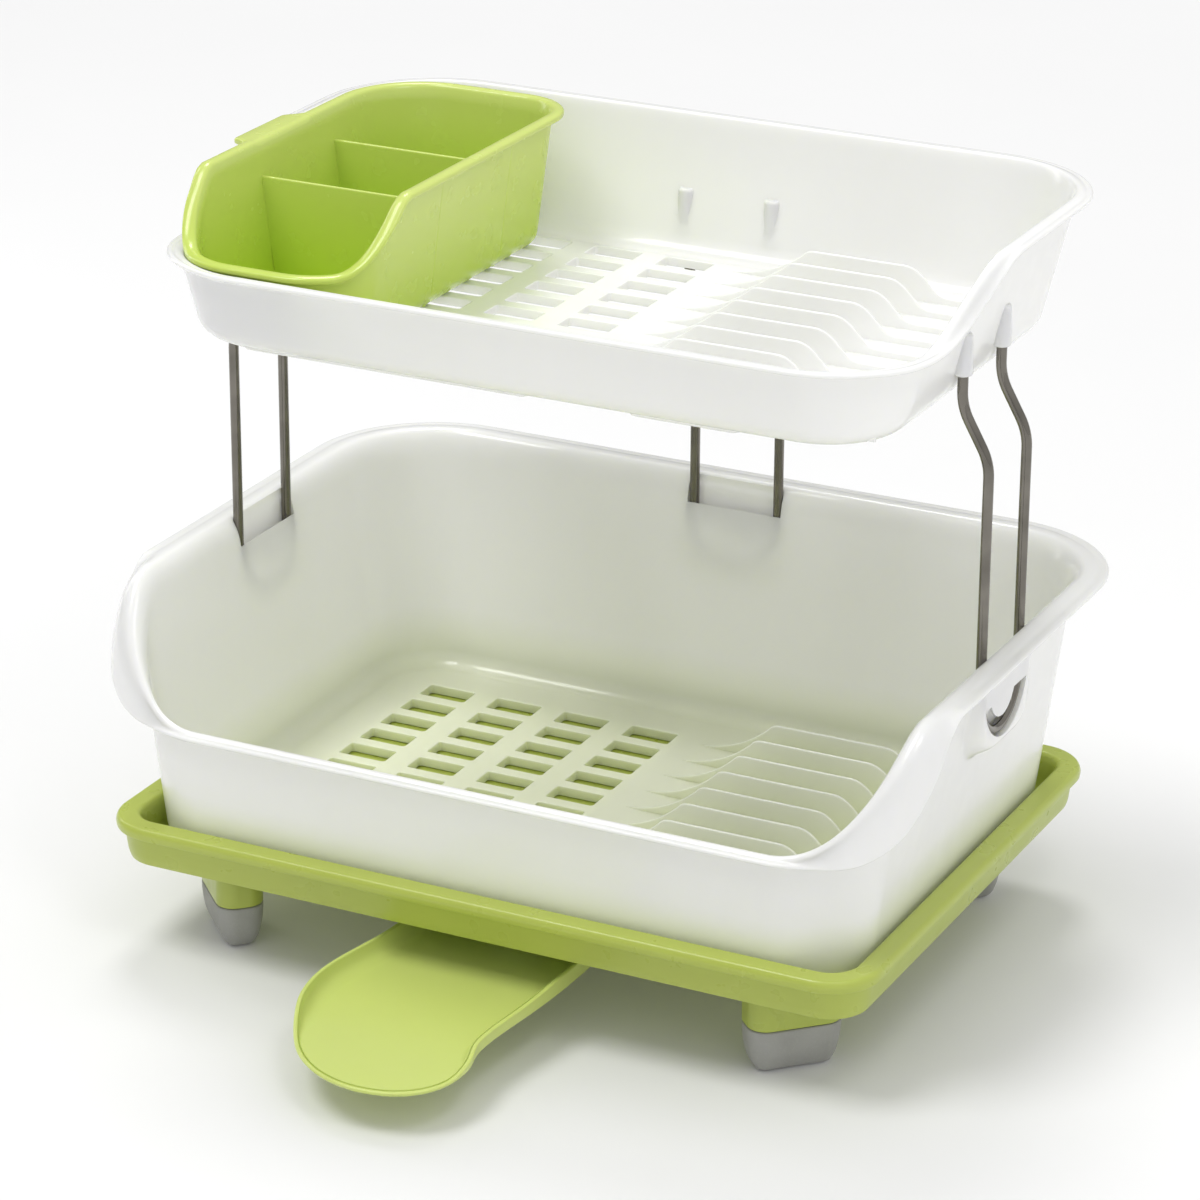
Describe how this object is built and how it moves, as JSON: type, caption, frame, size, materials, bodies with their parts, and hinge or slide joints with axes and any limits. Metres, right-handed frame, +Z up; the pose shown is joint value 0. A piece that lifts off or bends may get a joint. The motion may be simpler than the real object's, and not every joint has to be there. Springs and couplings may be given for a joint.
{
  "type": "dish drying rack",
  "caption": "Free-standing dish drying rack: drip tray with a swivelling spout, a deep basket, wire supports, an upper basket and a hooked-on cutlery holder.",
  "frame": {"origin": "on the counter, at the middle of the footprint of the whole rack, spout included", "axes": "+Z up, +X to the right for someone standing in front, -Y towards that person and the spout"},
  "size_m": [0.516, 0.5052, 0.445],
  "materials": {
    "tray_plastic": "satin lime green polypropylene",
    "spout_plastic": "satin lime green polypropylene",
    "holder_plastic": "satin lime green polypropylene",
    "nut_plastic": "white plastic",
    "basket_plastic": "glossy white polypropylene, slightly translucent",
    "foot_rubber": "matt mid-grey rubber",
    "support_steel": "polished stainless steel rod"
  },
  "bodies": {
    "tray": {"drip_tray": "tray_plastic", "foot_front_left": "foot_rubber", "foot_front_right": "foot_rubber", "foot_back_left": "foot_rubber", "foot_back_right": "foot_rubber", "drain_nut": "nut_plastic"},
    "spout": {"swivel_spout": "spout_plastic"},
    "lower": {"lower_basket": "basket_plastic"},
    "support_left": {"wire_support_left": "support_steel"},
    "support_back": {"wire_support_back": "support_steel"},
    "support_right": {"wire_support_right": "support_steel"},
    "upper": {"upper_basket": "basket_plastic"},
    "holder": {"cutlery_holder": "holder_plastic"}
  },
  "joints": [
    {"name": "spout_swivel", "type": "hinge", "parent": "tray", "child": "spout", "pos_m": [0, -0.05058, 0.047], "axis": [0, 0, 1], "range_deg": [-38, 38]},
    {"name": "lower_basket_lift", "type": "slide", "parent": "tray", "child": "lower", "axis": [0, 0, 1], "range_m": [0, 0.06]},
    {"name": "left_support_lift", "type": "slide", "parent": "lower", "child": "support_left", "axis": [0, 0, 1], "range_m": [0, 0.06]},
    {"name": "back_support_lift", "type": "slide", "parent": "lower", "child": "support_back", "axis": [0, 0, 1], "range_m": [0, 0.06]},
    {"name": "right_support_lift", "type": "slide", "parent": "lower", "child": "support_right", "axis": [0, 0, 1], "range_m": [0, 0.06]},
    {"name": "upper_basket_lift", "type": "slide", "parent": "support_left", "child": "upper", "axis": [0, 0, 1], "range_m": [0, 0.06]},
    {"name": "cutlery_holder_lift", "type": "slide", "parent": "upper", "child": "holder", "axis": [0, 0, 1], "range_m": [0, 0.12]}
  ],
  "couplings": [
    {"joint": "back_support_lift", "follows": "left_support_lift", "ratio": 1},
    {"joint": "right_support_lift", "follows": "left_support_lift", "ratio": 1}
  ]
}
